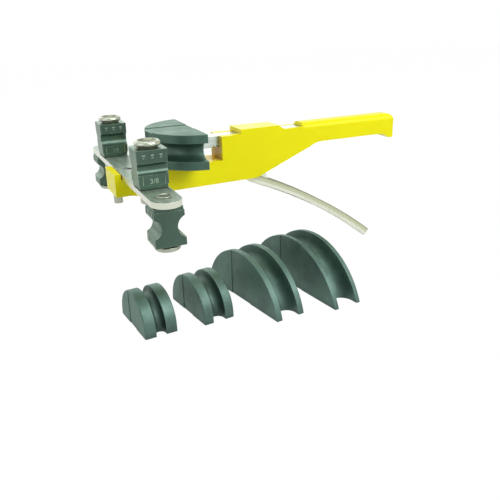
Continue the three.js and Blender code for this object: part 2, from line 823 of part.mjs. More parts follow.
tool.add(piece("ratchet_rod", ratchetRod(), rod_steel));
tool.add(piece("detent_ball", detentBall(), bright_steel));
tool.add(
  piece(
    "detent_spring",
    uprightSpring(
      detent_x, 0, detent_ball_radius - detent_wire, detent_wire,
      detent_bore_floor + seat_gap, rod_top + detent_proud - 2 * detent_ball_radius - seat_gap,
    ),
    spring_steel,
  ),
);

const mounted = piece("former_five_eighths", former(five_eighths_tube, five_eighths_bend, five_eighths_crown), dark_iron);
mounted.position.set(former_face_x, 0, tube_height);
tool.add(mounted);

tool.add(piece("hand_lever", handLever(), zinc));
tool.add(
  piece(
    "lever_pivot_pin",
    axle(
      lever_pivot_x, lever_pivot_z, blindEnd(lever_pivot_x), castingHalf(lever_pivot_x) - seat_gap,
      lever_pin_radius,
    ),
    spring_steel,
  ),
);
tool.add(
  piece(
    "lever_return_spring",
    axleSpring(
      lever_pivot_x, lever_pivot_z, lever_spring_radius, lever_spring_wire,
      -lever_width / 2 + lever_wall + seat_gap, lever_width / 2 - lever_wall - seat_gap,
    ),
    spring_steel,
  ),
);
const pawl_places = {
  drive: { x: drive_pin_x, near: -lever_width / 2, far: lever_width / 2 },
  holding: { x: holding_pin_x, near: blindEnd(holding_pin_x), far: castingHalf(holding_pin_x) - seat_gap },
};
for (const [name, { x, near, far }] of Object.entries(pawl_places)) {
  tool.add(piece(`${name}_pawl`, pawl(x), dark_iron));
  tool.add(piece(`${name}_pawl_pin`, axle(x, pawl_pin_z, near, far, pawl_pin_radius), spring_steel));
  tool.add(
    piece(
      `${name}_pawl_spring`,
      axleSpring(
        x, pawl_pin_z, pawl_spring_radius, pawl_spring_wire,
        pawl_width / 2 + seat_gap, lever_width / 2 - lever_wall - seat_gap,
      ),
      spring_steel,
    ),
  );
}

const loose = {
  three_eighths: [three_eighths_tube, three_eighths_bend, three_eighths_crown],
  half: [half_tube, half_bend, half_crown],
  three_quarter: [three_quarter_tube, three_quarter_bend, three_quarter_crown],
  seven_eighths: [seven_eighths_tube, seven_eighths_bend, seven_eighths_crown],
};
for (const [name, [tube, bend, crown]] of Object.entries(loose)) {
  const body = piece(`former_${name}`, former(tube, bend, crown), dark_iron);
  body.rotation.y = Math.PI / 2;
  const stand = new THREE.Group();
  const heading = THREE.MathUtils.degToRad(loose_headings[name]);
  const [x, y] = loose_places[name];
  stand.rotation.z = heading;
  stand.position.set(
    x + (former_width / 2) * Math.cos(heading), y + (former_width / 2) * Math.sin(heading), floor_z,
  );
  stand.add(body);
  tool.add(stand);
}

export default bender;
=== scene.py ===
import math

import bmesh
import bpy
from mathutils import Matrix, Vector


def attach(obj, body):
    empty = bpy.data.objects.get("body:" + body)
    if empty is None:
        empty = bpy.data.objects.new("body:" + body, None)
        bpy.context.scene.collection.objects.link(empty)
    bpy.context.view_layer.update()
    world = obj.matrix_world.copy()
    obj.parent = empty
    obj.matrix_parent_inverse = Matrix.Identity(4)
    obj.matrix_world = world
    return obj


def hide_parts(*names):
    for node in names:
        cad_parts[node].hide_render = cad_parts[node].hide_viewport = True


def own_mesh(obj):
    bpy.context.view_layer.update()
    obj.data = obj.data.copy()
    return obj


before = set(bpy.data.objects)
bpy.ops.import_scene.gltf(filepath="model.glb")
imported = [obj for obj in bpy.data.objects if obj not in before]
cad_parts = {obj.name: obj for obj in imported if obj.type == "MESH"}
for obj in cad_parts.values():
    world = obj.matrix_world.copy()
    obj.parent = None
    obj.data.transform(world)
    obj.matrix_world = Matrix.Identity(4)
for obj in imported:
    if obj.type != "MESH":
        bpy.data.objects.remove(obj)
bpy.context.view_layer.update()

# Places are written in millimetres from the middle of the cross bar's top face: +X to the grip,
# +Y to the far side, +Z up. at() moves them to the row frame, in metres from the grip's middle.
MM = 0.001
GRIP_X, GRIP_Z = 236.0, 16.3


def at(x, y, z):
    return Vector(((x - GRIP_X) * MM, y * MM, (z - GRIP_Z) * MM))


# The lever's outer skin is an arc in the middle plane, given in X and Z.
LEVER_START, LEVER_TIP, LEVER_RADIUS = Vector((121.0, -28.6)), Vector((265.5, -113.2)), 540.0
LEVER_HALF, LEVER_WALL, LEVER_FLANGE, LEVER_FOLD, LEVER_INNER_FOLD = 7.5, 1.6, 8.8, 1.7, 0.4

lever_chord = LEVER_TIP - LEVER_START
lever_side = Vector((lever_chord.y, -lever_chord.x)).normalized()
lever_rise = math.sqrt(LEVER_RADIUS**2 - (lever_chord.length / 2) ** 2)
lever_centre = (LEVER_START + LEVER_TIP) / 2 + lever_side * lever_rise
lever_from = math.atan2(*reversed(LEVER_START - lever_centre))
lever_to = math.atan2(*reversed(LEVER_TIP - lever_centre))
lever_length = LEVER_RADIUS * abs(lever_to - lever_from)


# Materials. Colours are linear; the stops of a ramp are shares of the noise's range.

MIX_FACTOR, MIX_A, MIX_B, MIX_RESULT = 0, 6, 7, 2  # the colour sockets of a Mix node
SOCKETS = {
    "color": "Base Color", "rough": "Roughness", "metal": "Metallic", "coat": "Coat Weight",
    "coat_rough": "Coat Roughness", "level": "Specular IOR Level", "tint": "Specular Tint",
    "index": "IOR", "normal": "Normal",
}


class Nodes:
    """A node material built up step by step."""

    def __init__(self, name):
        self.material = bpy.data.materials.new(name)
        self.material.use_nodes = True
        self.tree = self.material.node_tree
        self.shader = self.tree.nodes["Principled BSDF"]
        self.coords = self.tree.nodes.new("ShaderNodeTexCoord").outputs["Object"]

    def node(self, kind, inputs=None, **settings):
        made = self.tree.nodes.new(kind)
        for key, value in settings.items():
            setattr(made, key, value)
        for key, value in (inputs or {}).items():
            self.plug(made.inputs[key], value)
        return made

    def plug(self, socket, value):
        if isinstance(value, bpy.types.NodeSocket):
            self.tree.links.new(value, socket)
        else:
            socket.default_value = value

    def set(self, **values):
        for key, value in values.items():
            self.plug(self.shader.inputs[SOCKETS[key]], value)

    def scaled(self, sx, sy, sz):
        inputs = {"Vector": self.coords, "Scale": (sx, sy, sz)}
        return self.node("ShaderNodeMapping", inputs).outputs["Vector"]

    def noise(self, scale, detail=4.0, rough=0.55, vector=None):
        inputs = {
            "Vector": vector if vector is not None else self.coords,
            "Scale": scale, "Detail": detail, "Roughness": rough,
        }
        return self.node("ShaderNodeTexNoise", inputs).outputs["Fac"]

    def ramp(self, fac, stops):
        made = self.node("ShaderNodeValToRGB", {"Fac": fac})
        elements = made.color_ramp.elements
        while len(elements) < len(stops):
            elements.new(0.5)
        for element, (place, colour) in zip(elements, stops):
            element.position = place
            element.color = (*colour, 1.0)
        return made.outputs["Color"]

    def span(self, value, a, b, c, d):
        """The value with a to b stretched to c to d."""
        inputs = {"Value": value, "From Min": a, "From Max": b, "To Min": c, "To Max": d}
        return self.node("ShaderNodeMapRange", inputs).outputs["Result"]

    def mix(self, fac, a, b):
        made = self.node("ShaderNodeMix", data_type="RGBA")
        self.plug(made.inputs[MIX_FACTOR], fac)
        for socket, value in ((MIX_A, a), (MIX_B, b)):
            self.plug(made.inputs[socket], (*value, 1.0) if isinstance(value, tuple) else value)
        return made.outputs[MIX_RESULT]

    def maths(self, kind, a, b=0.0):
        made = self.node("ShaderNodeMath", operation=kind)
        self.plug(made.inputs[0], a)
        self.plug(made.inputs[1], b)
        return made.outputs[0]

    def bump(self, height, distance, strength=1.0, below=None):
        inputs = {"Height": height, "Distance": distance, "Strength": strength}
        if below is not None:
            inputs["Normal"] = below
        return self.node("ShaderNodeBump", inputs).outputs["Normal"]

    def edges(self, width):
        """1 along edges, 0 further than width millimetres from them: the mask for painted
        highlights along edges.
        """
        rounded = self.node("ShaderNodeBevel", {"Radius": width * MM}, samples=6).outputs[0]
        true = self.node("ShaderNodeNewGeometry").outputs["True Normal"]
        agree = self.node("ShaderNodeVectorMath", operation="DOT_PRODUCT")
        self.plug(agree.inputs[0], rounded)
        self.plug(agree.inputs[1], true)
        return self.span(agree.outputs["Value"], 0.80, 0.99, 1.0, 0.0)

    def painted_shade_mask(self, reach, low, high):
        """1 in corners and hollows within reach millimetres, 0 in the open: the mask for painted
        shade.
        """
        inputs = {"Distance": reach * MM}
        open_air = self.node("ShaderNodeAmbientOcclusion", inputs, samples=8).outputs["AO"]
        return self.span(open_air, low, high, 1.0, 0.0)


def yellow_paint():
    n = Nodes("yellow_enamel")
    tone = n.ramp(
        n.noise(14.0, 3.0),
        [(0.3, (0.89, 0.83, 0.003)), (0.55, (0.92, 0.86, 0.004)), (0.75, (0.94, 0.885, 0.005))],
    )
    # Painted shade: an orange-brown is mixed in where the paint is hemmed in by other parts, within
    # 60 mm.
    shade = n.ramp(n.noise(30.0, 3.0), [(0.3, (0.72, 0.39, 0.001)), (0.7, (0.82, 0.49, 0.002))])
    n.set(color=n.mix(n.painted_shade_mask(60.0, 0.14, 0.60), tone, shade))
    n.set(rough=n.span(n.noise(160.0), 0.3, 0.7, 0.28, 0.42))
    n.set(level=0.12, tint=(1.0, 0.93, 0.45, 1.0), coat=0.16, coat_rough=0.16)
    peel = n.bump(n.noise(420.0, 2.0, 0.4), 0.00005, 0.3)
    n.set(normal=n.bump(n.noise(45.0, 2.0), 0.0003, 0.2, peel))
    return n.material


def alloy(name, dark, mid, light, rough, edge_highlight, tint, reach):
    """Satin grey-green coating on a casting, with painted highlights along its edges, painted shade
    in its hollows, and fine grain.
    """
    n = Nodes(name)
    low = tuple((a + b) / 2 for a, b in zip(dark, mid))
    tone = n.ramp(n.noise(38.0, 5.0, 0.6), [(0.3, low), (0.52, mid), (0.72, light)])
    # Painted shade: the dark colour is mixed in where the surface is hemmed in, within reach
    # millimetres.
    shaded_hollows = n.painted_shade_mask(reach, 0.3, 0.75)
    # Painted highlight: a paler colour in patches along the edges, kept out of the painted shade.
    highlit_edges = n.maths("MULTIPLY", n.edges(0.7), n.span(n.noise(130.0), 0.35, 0.6, 0.3, 0.9))
    highlit_open_edges = n.maths("MULTIPLY", highlit_edges, n.maths("SUBTRACT", 1.0, shaded_hollows))
    n.set(color=n.mix(highlit_open_edges, n.mix(shaded_hollows, tone, dark), edge_highlight))
    n.set(rough=n.span(n.noise(90.0, 3.0), 0.3, 0.7, *rough), metal=0.45, level=0.8)
    n.set(index=1.6, tint=tint)
    fine = n.bump(n.noise(700.0, 3.0, 0.6), 0.00005, 0.4)
    n.set(normal=n.bump(n.noise(70.0, 3.0), 0.0002, 0.25, fine))
    return n.material


def chrome():
    n = Nodes("bright_plating")
    tone = n.ramp(n.noise(90.0, 3.0), [(0.3, (0.36, 0.39, 0.31)), (0.7, (0.45, 0.48, 0.39))])
    # Painted shade: a near-black is mixed in where the plating is hemmed in, within 5 mm.
    n.set(color=n.mix(n.painted_shade_mask(5.0, 0.35, 0.9), tone, (0.11, 0.12, 0.08)))
    n.set(metal=0.85, rough=n.span(n.noise(300.0, 3.0), 0.3, 0.75, 0.26, 0.36))
    n.set(normal=n.bump(n.noise(180.0, 3.0), 0.00002, 0.2))
    return n.material


def dish_metal():
    n = Nodes("shaded_dish_metal")
    rings = n.noise(200.0, 4.0)
    # Painted shade: the dish of a pin's head is coloured darker than the plated rim round it.
    n.set(color=n.ramp(rings, [(0.3, (0.16, 0.18, 0.115)), (0.7, (0.27, 0.30, 0.20))]))
    n.set(metal=0.8, rough=n.span(rings, 0.3, 0.75, 0.22, 0.34))
    n.set(normal=n.bump(n.noise(240.0, 3.0), 0.00003, 0.2))
    return n.material


def bar_steel():
    n = Nodes("satin_bar_steel")
    streaks = n.noise(60.0, 3.0, 0.5, n.scaled(6.0, 1.0, 6.0))
    steel = [(0.3, (0.26, 0.34, 0.27)), (0.5, (0.32, 0.40, 0.32)), (0.72, (0.40, 0.49, 0.39))]
    # Painted highlight: a paler colour along the bar's edges.
    edge_highlight = n.maths("MULTIPLY", n.edges(0.4), 0.5)
    tone = n.mix(edge_highlight, n.ramp(streaks, steel), (0.66, 0.70, 0.58))
    # Painted reflection: the faces round the bar's edge, which are not level, are painted paler
    # than its top and underside.
    normal = n.node("ShaderNodeNewGeometry").outputs["True Normal"]
    rise = n.maths("ABSOLUTE", n.node("ShaderNodeSeparateXYZ", {"Vector": normal}).outputs["Z"])
    n.set(color=n.mix(n.span(rise, 0.5, 0.8, 1.0, 0.0), tone, (0.66, 0.69, 0.57)))
    rough, uneven = n.span(rise, 0.5, 0.8, 0.26, 0.44), n.span(streaks, 0.3, 0.75, -0.04, 0.06)
    n.set(metal=0.8, rough=n.maths("ADD", rough, uneven))
    n.set(normal=n.bump(n.noise(60.0, 3.0, 0.5, n.scaled(10.0, 1.0, 10.0)), 0.00002, 0.08))
    return n.material


def zinc_sheet():
    n = Nodes("pale_zinc_sheet")
    blotch = n.noise(26.0, 5.0, 0.6)
    tone = n.ramp(
        blotch, [(0.3, (0.76, 0.79, 0.65)), (0.5, (0.84, 0.87, 0.73)), (0.72, (0.90, 0.92, 0.80))],
    )
    # Painted shade: the strip next to the open edge is painted duller, for the shade inside the
    # channel, and the sheared edge itself is darker. Both are found by the distance from the middle
    # of the lever's arc. Past the edge, on the cheeks, the sheet is plain again.
    flat = n.node("ShaderNodeVectorMath", operation="MULTIPLY")
    n.plug(flat.inputs[0], n.coords)
    flat.inputs[1].default_value = (1.0, 0.0, 1.0)
    away = n.node("ShaderNodeVectorMath", operation="DISTANCE")
    n.plug(away.inputs[0], flat.outputs[0])
    away.inputs[1].default_value = at(lever_centre.x, 0, lever_centre.y)
    reach, skin, edge = away.outputs["Value"], LEVER_RADIUS * MM, (LEVER_RADIUS + LEVER_FLANGE) * MM
    up = n.span(reach, skin, edge, 0.0, 1.0)
    steps = ((0.0, 0.0), (0.42, 0.1), (0.52, 0.75), (0.84, 1.0))
    channel_shade = n.ramp(up, [(place, (share,) * 3) for place, share in steps])
    strip = n.mix(channel_shade, tone, (0.54, 0.58, 0.37))
    strip = n.mix(n.span(up, 0.86, 0.93, 0.0, 0.8), strip, (0.24, 0.26, 0.18))
    past = n.span(reach, edge + 0.1 * MM, edge + 0.4 * MM, 0.0, 1.0)
    strip = n.mix(past, strip, tone)
    # Painted shade: a duller grey is mixed in where the sheet is hemmed in, within 8 mm.
    n.set(color=n.mix(n.painted_shade_mask(8.0, 0.2, 0.6), strip, (0.54, 0.57, 0.45)))
    n.set(metal=0.4, rough=n.span(n.noise(70.0), 0.3, 0.7, 0.30, 0.46))
    n.set(normal=n.bump(n.noise(120.0, 4.0, 0.6, n.scaled(2.0, 12.0, 2.0)), 0.00005, 0.4))
    return n.material


def rod_steel():
    n = Nodes("drawn_rod_steel")
    streaks = n.noise(70.0, 3.0, 0.5, n.scaled(1.0, 5.0, 5.0))
    n.set(color=n.ramp(streaks, [(0.3, (0.46, 0.54, 0.48)), (0.7, (0.62, 0.70, 0.64))]))
    n.set(metal=0.8, rough=n.span(streaks, 0.3, 0.75, 0.2, 0.34))
    n.set(normal=n.bump(n.noise(60.0, 2.0, 0.5, n.scaled(1.0, 6.0, 6.0)), 0.00003, 0.15))
    return n.material


def small_steel(name, low, high):
    n = Nodes(name)
    n.set(color=n.ramp(n.noise(150.0, 4.0), [(0.3, low), (0.7, high)]))
    n.set(metal=0.9, rough=n.span(n.noise(300.0, 3.0), 0.3, 0.75, 0.25, 0.45))
    n.set(normal=n.bump(n.noise(600.0, 2.0), 0.00003, 0.4))
    return n.material


YELLOW = yellow_paint()
FORMER = alloy(
    "former_coating",
    dark=(0.010, 0.025, 0.020), mid=(0.050, 0.107, 0.083), light=(0.064, 0.128, 0.101),
    rough=(0.36, 0.48), edge_highlight=(0.34, 0.48, 0.40), tint=(0.66, 0.86, 0.70, 1.0), reach=16.0,
)
# Painted light: the loose formers get a lighter copy of the former coating, in place of more light
# on them.
LIGHTER_FORMER_COPY = alloy(
    "former_coating_lighter_copy",
    dark=(0.012, 0.028, 0.024), mid=(0.072, 0.138, 0.114), light=(0.088, 0.164, 0.136),
    rough=(0.40, 0.52), edge_highlight=(0.40, 0.54, 0.46), tint=(0.68, 0.84, 0.74, 1.0), reach=18.0,
)
BLOCK = alloy(
    "block_coating",
    dark=(0.018, 0.042, 0.030), mid=(0.046, 0.092, 0.068), light=(0.060, 0.114, 0.086),
    rough=(0.24, 0.36), edge_highlight=(0.42, 0.56, 0.44), tint=(0.80, 0.98, 0.80, 1.0), reach=4.0,
)
# The raised marks are paler than the block's coating.
MARK = alloy(
    "pale_raised_marks",
    dark=(0.10, 0.15, 0.11), mid=(0.26, 0.34, 0.26), light=(0.40, 0.48, 0.40),
    rough=(0.24, 0.36), edge_highlight=(0.60, 0.68, 0.60), tint=(0.80, 0.98, 0.80, 1.0), reach=1.0,
)
CHROME = chrome()
DISH = dish_metal()
BAR = bar_steel()
ZINC = zinc_sheet()
ROD = rod_steel()
STEEL = small_steel("plain_steel", (0.20, 0.21, 0.21), (0.42, 0.43, 0.43))
DARK = small_steel("dark_pawl_steel", (0.05, 0.05, 0.055), (0.12, 0.12, 0.125))


# Mesh helpers


def raw(name, bm):
    """The bmesh, in row metres, as an object."""
    mesh = bpy.data.meshes.new(name)
    bmesh.ops.recalc_face_normals(bm, faces=bm.faces)
    bm.to_mesh(mesh)
    bm.free()
    made = bpy.data.objects.new(name, mesh)
    bpy.context.scene.collection.objects.link(made)
    return made


def dressed(piece, name, material, body, *nodes, bevel=0.0, steps=3, angle=30.0):
    """A raw object becomes a finished piece that rides on a body and stands for CAD nodes."""
    piece.name = name
    piece.data.name = name
    piece.data.materials.clear()
    piece.data.materials.append(material)
    for polygon in piece.data.polygons:
        polygon.use_smooth = True
    if bevel > 0:
        mod = piece.modifiers.new("edges", "BEVEL")
        mod.width = bevel * MM
        mod.segments = steps
        mod.limit_method = "ANGLE"
        mod.angle_limit = math.radians(angle)
        mod = piece.modifiers.new("normals", "WEIGHTED_NORMAL")
        mod.keep_sharp = True
        mod.weight = 80
    else:
        piece.data.set_sharp_from_angle(angle=math.radians(angle))
    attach(piece, body)
    if nodes:
        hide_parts(*nodes)
    return piece


def prism(bm, points, low, high, place):
    """A flat outline given as (u, v) pairs, drawn from low to high by place(u, v, w)."""
    bottom = [bm.verts.new(place(u, v, low)) for u, v in points]
    top = [bm.verts.new(place(u, v, high)) for u, v in points]
    bm.faces.new(bottom)
    bm.faces.new(list(reversed(top)))
    join_rings(bm, bottom, top)


def join_rings(bm, low, high):
    """Faces between two closed rings with as many vertices."""
    for i in range(len(low)):
        j = (i + 1) % len(low)
        bm.faces.new((low[i], high[i], high[j], low[j]))


def solid_prism(points, low, high, place):
    bm = bmesh.new()
    prism(bm, points, low, high, place)
    return raw("prism", bm)


def side_view(u, v, w):
    """Outline in X and Z, drawn along Y."""
    return at(u, w, v)


def plan_view(u, v, w):
    """Outline in X and Y, drawn along Z."""
    return at(u, v, w)


def end_view(u, v, w):
    """Outline in Y and Z, drawn along X."""
    return at(w, u, v)


def box(x0, x1, y0, y1, z0, z1):
    return solid_prism([(x0, z0), (x1, z0), (x1, z1), (x0, z1)], y0, y1, side_view)


def arc(cx, cy, radius, start, stop, steps):
    """Points on a circle, in degrees."""
    found = []
    for i in range(steps + 1):
        a = math.radians(start + (stop - start) * i / steps)
        found.append((cx + radius * math.cos(a), cy + radius * math.sin(a)))
    return found


def circle(cx, cy, radius, steps=48):
    return arc(cx, cy, radius, 0, 360 - 360 / steps, steps - 1)


def post(x, y, z0, z1, radius):
    return solid_prism(circle(x, y, radius), z0, z1, plan_view)


def axle(x, z, y0, y1, radius):
    return solid_prism(circle(x, z, radius), y0, y1, side_view)


def curve_between(a, control, b, steps):
    """Points after a, up to b, on the curve that leaves and arrives in line with control."""
    found = []
    for i in range(1, steps + 1):
        t = i / steps
        u = 1 - t
        found.append(tuple(u * u * a[k] + 2 * u * t * control[k] + t * t * b[k] for k in (0, 1)))
    return found


def spin(profile, x, y, steps=72):
    """A profile of (radius, z) turned about the vertical through x, y.

    It starts and ends on the axis, or else closes on itself.
    """
    bm = bmesh.new()
    rings = []
    for r, z in profile:
        turns = steps if r > 0 else 1
        angles = [2 * math.pi * i / steps for i in range(turns)]
        places = [at(x + r * math.cos(a), y + r * math.sin(a), z) for a in angles]
        rings.append([bm.verts.new(place) for place in places])
    if profile[0][0] > 0:
        rings.append(rings[0])
    for low, high in zip(rings, rings[1:]):
        for i in range(steps):
            j = (i + 1) % steps
            corners = (low, i), (low, j), (high, j), (high, i)
            # A ring on the axis has one vertex, which then counts once.
            bm.faces.new(list(dict.fromkeys(ring[k % len(ring)] for ring, k in corners)))
    return raw("turned", bm)


def combine(piece, operation, *others):
    """Booleans, applied, in the order given."""
    for other in others:
        mod = piece.modifiers.new("combine", "BOOLEAN")
        mod.operation = operation
        mod.solver = "EXACT"
        mod.object = other
    graph = bpy.context.evaluated_depsgraph_get()
    mesh = bpy.data.meshes.new_from_object(piece.evaluated_get(graph))
    piece.modifiers.clear()
    piece.data = mesh
    for other in others:
        bpy.data.objects.remove(other, do_unlink=True)


# The casting: a flat-sided body that tapers in plan, with a rounded grip

HEAD_HALF, HOLD_HALF = 19.0, 10.8
HEAD_FRONT, HOLD_FRONT, HOLD_REAR = -19.4, 179.0, 291.2
HEAD_UNDER, BEAM_UNDER, HOLD_UNDER = -21.0, -22.5, 6.0
HOLD_TOP, HOLD_ROUND, BEAM_TOP = 26.6, 7.0, -0.2
HOUSING_FRONT, HOUSING_TOP = 87.4, 22.9
BRIDGE_FRONT, BRIDGE_REAR, BRIDGE_TOP = 107.8, 150.0, 27.5
SEAT_FRONT, SEAT_REAR, SEAT_Z = -13.6, 13.0, -5.3
PAST, CLEAR = 20.0, 4.0  # how far a cutting solid runs past the casting, and past smaller pieces
TUBE_Z = 17.2  # the middle of the bent tube, of the former's groove and of the rod
LEVER_PIVOT, DRIVE_PIN, HOLDING_PIN = (110.0, -12.0), (120.0, 3.9), (144.0, 3.9)
PIVOT_BORE, PAWL_BORE, SCREW_BORE = 3.2, 2.2, 3.4
PIVOT_END, HOLDING_END, SCREW_END = -12.0, -10.0, -19.1  # where their bores stop in the casting
WAY_HALF_WIDTH, WAY_HALF_HEIGHT = 7.3, 5.8  # the rod's channel, and the sockets of the formers
WAY_FRONT, WAY_END = 84.0, 237.3
BAY_HALF, BAY_FRONT, BAY_REAR, BAY_TOP = 7.8, 103.3, 188.0, TUBE_Z - 5.6
POCKET_FRONT, POCKET_FLOOR = 94.7, TUBE_Z - 16.5
PLUNGER_X, PLUNGER_TIP, STEM_BORE, PLUNGER_BORE, PLUNGER_BORE_TOP = -14.0, -0.8, 2.7, 3.9, -7.0


def casting_outline():
    """From the head's lower front corner along the underside to the grip, and back over the top."""
    points = [(HEAD_FRONT, HEAD_UNDER), (-6.0, HEAD_UNDER), (2.0, BEAM_UNDER), (122.0, BEAM_UNDER)]
    points += curve_between(points[-1], (126.5, BEAM_UNDER), (131.0, -20.2), 10)
    points += [(187.0, 1.7)]
    points += curve_between(points[-1], (194.0, HOLD_UNDER), (201.0, HOLD_UNDER), 12)
    points += [(275.0, HOLD_UNDER)]
    points += curve_between(points[-1], (280.5, HOLD_UNDER), (286.0, 1.0), 12)
    points += [(HOLD_REAR, 1.0), (HOLD_REAR, 20.1)]
    points += curve_between(points[-1], (HOLD_REAR, HOLD_TOP), (283.2, HOLD_TOP), 12)
    points += [(HOLD_FRONT, HOLD_TOP), (HOLD_FRONT, HOUSING_TOP)]
    points += [(156.5, HOUSING_TOP), (BRIDGE_REAR, BRIDGE_TOP), (BRIDGE_FRONT, BRIDGE_TOP)]
    points += [(BRIDGE_FRONT, HOUSING_TOP), (HOUSING_FRONT, HOUSING_TOP), (HOUSING_FRONT, BEAM_TOP)]
    points += [(SEAT_REAR, BEAM_TOP), (SEAT_REAR, SEAT_Z), (SEAT_FRONT, SEAT_Z)]
    points += [(SEAT_FRONT, BEAM_TOP), (HEAD_FRONT, BEAM_TOP)]
    return points


def casting():
    body = solid_prism(casting_outline(), -HEAD_HALF * 2, HEAD_HALF * 2, side_view)
    near = [(HEAD_FRONT - PAST, -HEAD_HALF), (HEAD_FRONT, -HEAD_HALF)]
    near += [(HOLD_FRONT, -HOLD_HALF), (HOLD_REAR + PAST, -HOLD_HALF)]
    plan = near + [(x, -y) for x, y in reversed(near)]
    low, high = BEAM_UNDER - PAST, BRIDGE_TOP + PAST
    combine(body, "INTERSECT", solid_prism(plan, low, high, plan_view))
    edges = []
    for side in (-1, 1):
        flat, start = HOLD_HALF - HOLD_ROUND, HOLD_TOP - HOLD_ROUND
        wide, above = HOLD_HALF + PAST, HOLD_TOP + PAST
        rim = [(side * u, v) for u, v in arc(flat, start, HOLD_ROUND, 90, 0, 16)]
        corner = [(side * wide, start), (side * wide, above), (side * flat, above)]
        edges.append(solid_prism(corner + rim, HOLD_FRONT, HOLD_REAR + PAST, end_view))
    way_z = TUBE_Z - WAY_HALF_HEIGHT, TUBE_Z + WAY_HALF_HEIGHT
    # The pins and the screw stop short inside the casting: no end of theirs shows on the near side.
    combine(
        body, "DIFFERENCE", *edges,
        box(WAY_FRONT, WAY_END, -WAY_HALF_WIDTH, WAY_HALF_WIDTH, *way_z),
        box(BAY_FRONT, BAY_REAR, -BAY_HALF, BAY_HALF, low, BAY_TOP),
        box(POCKET_FRONT, BAY_REAR, -BAY_HALF, BAY_HALF, POCKET_FLOOR, BAY_TOP),
        axle(*LEVER_PIVOT, PIVOT_END, HEAD_HALF + PAST, PIVOT_BORE),
        axle(*HOLDING_PIN, HOLDING_END, HEAD_HALF + PAST, PAWL_BORE),
        post(0, 0, SCREW_END, 0, SCREW_BORE),
        post(PLUNGER_X, 0, low, PLUNGER_TIP, STEM_BORE),
        post(PLUNGER_X, 0, low, PLUNGER_BORE_TOP, PLUNGER_BORE),
    )
    dressed(body, "casting", YELLOW, "frame", "cast_frame", bevel=0.8, steps=4, angle=24)


# The bar

UPPER_Y, LOWER_Y = 69.1, 105.4
BAR_HALF, BAR_END, BAR_UNDER = 12.8, 123.5, -5.1
PIN_BORE, SINK_RADIUS, SINK_FLOOR = 4.2, 5.8, -2.8


def cross_bar():
    straight = BAR_END - BAR_HALF
    plan = arc(0, straight, BAR_HALF, 0, 180, 32) + arc(0, -straight, BAR_HALF, 180, 360, 32)
    body = solid_prism(plan, BAR_UNDER, 0.0, plan_view)
    low, high = BAR_UNDER - CLEAR, CLEAR
    holes = [post(0, y, low, high, PIN_BORE) for y in (-LOWER_Y, -UPPER_Y, UPPER_Y, LOWER_Y)]
    holes += [post(0, 0, low, high, SCREW_BORE), post(0, 0, SINK_FLOOR, high, SINK_RADIUS)]
    holes += [post(PLUNGER_X, 0, low, PLUNGER_TIP, STEM_BORE)]
    combine(body, "DIFFERENCE", *holes)
    dressed(body, "bar", BAR, "frame", "cross_bar", bevel=0.5, steps=3)


# Blocks and their pins

BLOCK_BASE, BLOCK_HEIGHT, BLOCK_CORNER = 0.8, 32.0, 1.2
BLOCK_NARROW, BLOCK_WIDE = 25.2, 26.0
BOSS_HEIGHT, BOSS_INSET = 3.0, 0.6
FACES = ("east", "north", "west", "south")
SIZES = {"3/8": 9.525, "1/2": 12.7, "5/8": 15.875, "3/4": 19.05, "7/8": 22.225}
TUBE_ROOM = 0.2  # between a tube and its groove
GROOVE_SHARE = 0.35  # how deep a block's groove is, as a share of the tube


def block_half(z):
    """Half the width of a block at a height, as it widens a little towards its head."""
    return (BLOCK_NARROW + (BLOCK_WIDE - BLOCK_NARROW) * z / BLOCK_HEIGHT) / 2


def groove_radius(size):
    return SIZES[size] / 2 + TUBE_ROOM


def bar_face(sign):
    """The height of the bar's top (1) or underside (-1)."""
    return 0.0 if sign > 0 else BAR_UNDER


def block_place(y, sign):
    """Block coordinates, with z counted from the end at the bar, above it (1) or below it (-1)."""
    return lambda u, v, z: at(u, y + v, bar_face(sign) + sign * (BLOCK_BASE + z))


def block(name, y, sign, faces):
    """faces gives the tube size of each grooved face: 0 is +X, 1 is +Y, 2 is -X, 3 is -Y."""
    place = block_place(y, sign)
    bm = bmesh.new()
    rings = []
    levels = [(0.0, BOSS_INSET), (BOSS_HEIGHT, BOSS_INSET), (BOSS_HEIGHT, 0.0), (BLOCK_HEIGHT, 0.0)]
    for z, inset in levels:
        reach = block_half(z) - inset - BLOCK_CORNER
        ring = []
        for k in range(4):
            cx, cy = reach * (1 if k in (0, 3) else -1), reach * (1 if k in (0, 1) else -1)
            ring += arc(cx, cy, BLOCK_CORNER, 90 * k, 90 * k + 90, 5)
        rings.append([bm.verts.new(place(u, v, z)) for u, v in ring])
    for low, high in zip(rings, rings[1:]):
        join_rings(bm, low, high)
    bm.faces.new(list(reversed(rings[0])))
    bm.faces.new(rings[-1])
    body = raw("block", bm)
    cutters = []
    for k, size in faces.items():
        radius = groove_radius(size)
        height = TUBE_Z - BLOCK_BASE
        centre = block_half(height) - GROOVE_SHARE * SIZES[size] + radius
        turn = math.radians(90 * k)

        def groove(u, v, w, turn=turn):
            x = u * math.cos(turn) - w * math.sin(turn)
            y = u * math.sin(turn) + w * math.cos(turn)
            return place(x, y, v)

        outline = circle(centre, height, radius, 72)
        cutters.append(solid_prism(outline, -BLOCK_WIDE, BLOCK_WIDE, groove))
    ends = (BLOCK_BASE - CLEAR, BLOCK_BASE + BLOCK_HEIGHT + CLEAR)
    low, high = sorted(bar_face(sign) + sign * z for z in ends)
    cutters.append(post(0, y, low, high, PIN_BORE))
    combine(body, "DIFFERENCE", *cutters)
    dressed(body, f"{name}_body", BLOCK, f"{name}_block", f"{name}_block", bevel=0.45)
    for k, size in faces.items():
        marks(f"{name}_{FACES[k]}", place, sign, k, size, f"{name}_block")


